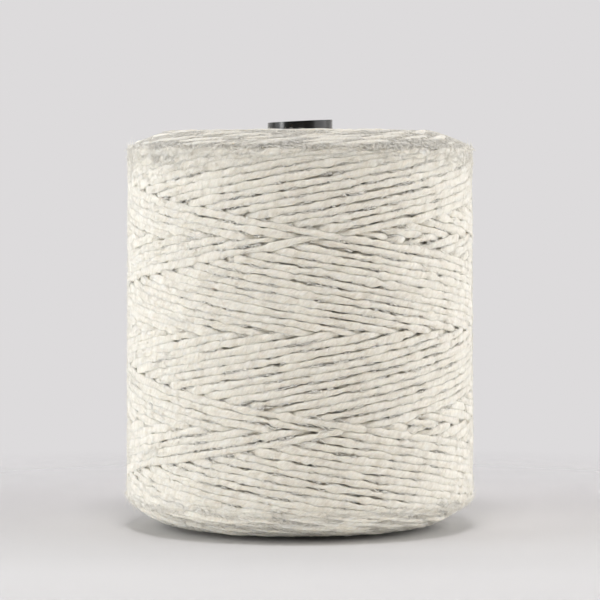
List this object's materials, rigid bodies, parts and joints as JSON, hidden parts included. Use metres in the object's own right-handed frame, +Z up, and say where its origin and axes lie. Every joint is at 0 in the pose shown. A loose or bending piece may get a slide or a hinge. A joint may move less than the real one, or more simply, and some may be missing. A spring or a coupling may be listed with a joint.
{
  "type": "cross-wound twine spool",
  "caption": "Cylinder of cross-wound off-white cotton twine on a plain black plastic tube, for paying twine out by hand or from a spindle.",
  "frame": {"origin": "centre of the tube's lower end, which the spool stands on, on the tube's axis", "axes": "+Z up along the tube's axis, towards the end where the tube stands out; the tube's cut top is highest at +X"},
  "size_m": [0.0996, 0.0996, 0.1168],
  "materials": {
    "tube_plastic": "extruded, glossy",
    "wound_twine": "matte, fibrous",
    "twine": "matte, fibrous"
  },
  "bodies": {
    "root": {"core_tube": "tube_plastic", "inner_layers": "wound_twine", "outer_turns": "twine"}
  },
  "joints": []
}
